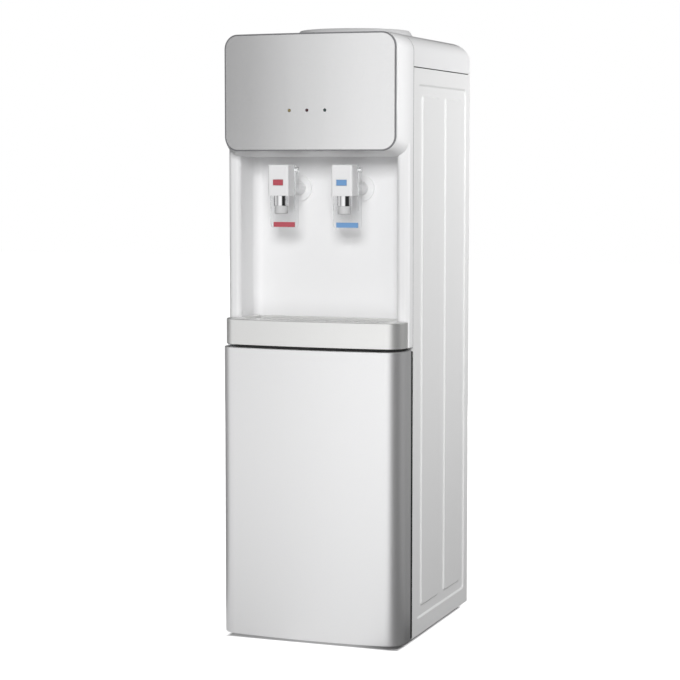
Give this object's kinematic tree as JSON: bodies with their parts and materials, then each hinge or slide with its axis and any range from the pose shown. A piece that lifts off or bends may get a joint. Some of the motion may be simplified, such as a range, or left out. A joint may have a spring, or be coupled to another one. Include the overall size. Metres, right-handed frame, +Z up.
{
  "type": "water dispenser",
  "caption": "Floor-standing bottle-top water dispenser with hot and cold taps over a drip tray, a lamp panel, a hinged storage cabinet door and a compressor cooling circuit.",
  "frame": {"origin": "on the floor under the middle of the whole object's bounding box", "axes": "+Z up, -Y towards the front with the taps and the door, +X towards the cold tap's side"},
  "size_m": [0.31, 0.3714, 0.992],
  "materials": {
    "white_shell": "satin moulded",
    "alcove_white": "satin moulded",
    "door_white": "satin moulded",
    "white_steel": "powder coated",
    "white_liner": "vacuum formed",
    "band_grey": "fine grain",
    "grey_collar": "fine grain",
    "silver_panel": "pearl lacquer",
    "bezel_grey": "satin",
    "amber_lens": "tinted",
    "red_lens": "tinted",
    "green_lens": "tinted",
    "circuit_board": "solder masked",
    "tap_white": "satin moulded",
    "tap_rubber": "silicone",
    "clear_paddle": "clear moulded",
    "red_mark": "satin",
    "blue_mark": "satin",
    "tap_chrome": "bright",
    "spout_grey": "fine grain",
    "nut_white": "moulded",
    "black_rubber": "matt",
    "black_plastic": "fine grain",
    "black_steel": "enamel",
    "zinc_steel": "zinc coated",
    "screw_steel": "zinc coated",
    "tank_steel": "drawn",
    "copper": "drawn copper",
    "foam": "expanded foam",
    "hose": "silicone",
    "switch_red": "satin",
    "switch_green": "satin"
  },
  "bodies": {
    "cabinet": {"feet": "black_rubber", "base_pan": "zinc_steel", "side_panel_left": "white_steel", "side_panel_right": "white_steel", "cabinet_liner": "white_liner", "deck": "zinc_steel", "back_panel": "white_steel", "back_screws": "screw_steel", "top_cover": "white_shell", "bottle_collar": "grey_collar", "bottle_spike": "grey_collar", "front_cover": "white_shell", "panel_bezel": "bezel_grey", "display_panel": "silver_panel", "lamp_power": "amber_lens", "lamp_heating": "red_lens", "lamp_cooling": "green_lens", "lamp_board": "circuit_board", "alcove_liner": "alcove_white", "tray_surround": "band_grey", "hot_tap_body": "tap_white", "cold_tap_body": "tap_white", "cold_mark": "blue_mark", "tap_collars": "tap_chrome", "tap_spouts": "spout_grey", "tap_nuts": "nut_white", "hinge_upper": "zinc_steel", "hinge_lower": "zinc_steel", "tank_shelf": "zinc_steel", "cold_foam": "foam", "cold_tank": "tank_steel", "tank_lid": "white_liner", "evaporator_coil": "copper", "hot_tank": "tank_steel", "hot_jacket": "foam", "heater_band": "tank_steel", "water_hoses": "hose", "compressor": "black_steel", "compressor_mounts": "black_rubber", "condenser": "black_steel", "condenser_clips": "black_plastic", "refrigerant_lines": "copper", "filter_dryer": "copper", "control_plate": "black_plastic", "power_inlet": "black_plastic"},
    "door": {"door_shell": "door_white", "door_liner": "white_liner", "door_gasket": "black_rubber"},
    "hot_paddle": {"hot_paddle": "clear_paddle", "hot_paddle_bar": "red_mark"},
    "cold_paddle": {"cold_paddle": "clear_paddle", "cold_paddle_bar": "blue_mark"},
    "hot_stem": {"hot_tap_stem": "tap_rubber"},
    "cold_stem": {"cold_tap_stem": "tap_rubber"},
    "hot_lock": {"hot_lock_button": "red_mark"},
    "drip_tray": {"drip_tray": "band_grey"},
    "drip_grille": {"drip_grille": "band_grey"},
    "hot_switch": {"hot_switch": "switch_red"},
    "cold_switch": {"cold_switch": "switch_green"},
    "drain_cap": {"drain_cap": "black_plastic"}
  },
  "joints": [
    {"name": "door_hinge", "type": "hinge", "parent": "cabinet", "child": "door", "pos_m": [-0.147, -0.13725, 0.008], "axis": [0, 0, -1], "range_deg": [0, 110]},
    {"name": "hot_paddle_hinge", "type": "hinge", "parent": "cabinet", "child": "hot_paddle", "pos_m": [-0.054, -0.14375, 0.763], "axis": [1, 0, 0], "range_deg": [0, 12], "stiffness_Nm_per_rad": 0.35, "springref_deg": -20.05},
    {"name": "hot_stem_lift", "type": "slide", "parent": "cabinet", "child": "hot_stem", "axis": [0, 0, 1], "range_m": [0, 0.0031], "stiffness_N_per_m": 60, "springref_m": -0.003},
    {"name": "cold_paddle_hinge", "type": "hinge", "parent": "cabinet", "child": "cold_paddle", "pos_m": [0.054, -0.14375, 0.763], "axis": [1, 0, 0], "range_deg": [0, 12], "stiffness_Nm_per_rad": 0.35, "springref_deg": -20.05},
    {"name": "cold_stem_lift", "type": "slide", "parent": "cabinet", "child": "cold_stem", "axis": [0, 0, 1], "range_m": [0, 0.0031], "stiffness_N_per_m": 60, "springref_m": -0.003},
    {"name": "hot_lock_press", "type": "slide", "parent": "cabinet", "child": "hot_lock", "axis": [0, 1, 0], "range_m": [0, 0.002], "stiffness_N_per_m": 300, "springref_m": -0.002},
    {"name": "drip_tray_lift", "type": "slide", "parent": "cabinet", "child": "drip_tray", "axis": [0, 0, 1], "range_m": [0, 0.06]},
    {"name": "drip_grille_lift", "type": "slide", "parent": "drip_tray", "child": "drip_grille", "axis": [0, 0, 1], "range_m": [0, 0.05]},
    {"name": "drain_cap_turn", "type": "hinge", "parent": "cabinet", "child": "drain_cap", "pos_m": [-0.104, 0.15725, 0.508], "axis": [0, -1, 0], "range_deg": [0, 90]},
    {"name": "hot_switch_rock", "type": "hinge", "parent": "cabinet", "child": "hot_switch", "pos_m": [0.11, 0.15755, 0.313], "axis": [1, 0, 0], "range_deg": [0, 18]},
    {"name": "cold_switch_rock", "type": "hinge", "parent": "cabinet", "child": "cold_switch", "pos_m": [0.11, 0.15755, 0.283], "axis": [1, 0, 0], "range_deg": [0, 18]}
  ],
  "couplings": [
    {"joint": "hot_stem_lift", "follows": "hot_paddle_hinge", "m_per_rad": 0.01432},
    {"joint": "cold_stem_lift", "follows": "cold_paddle_hinge", "m_per_rad": 0.01432}
  ]
}
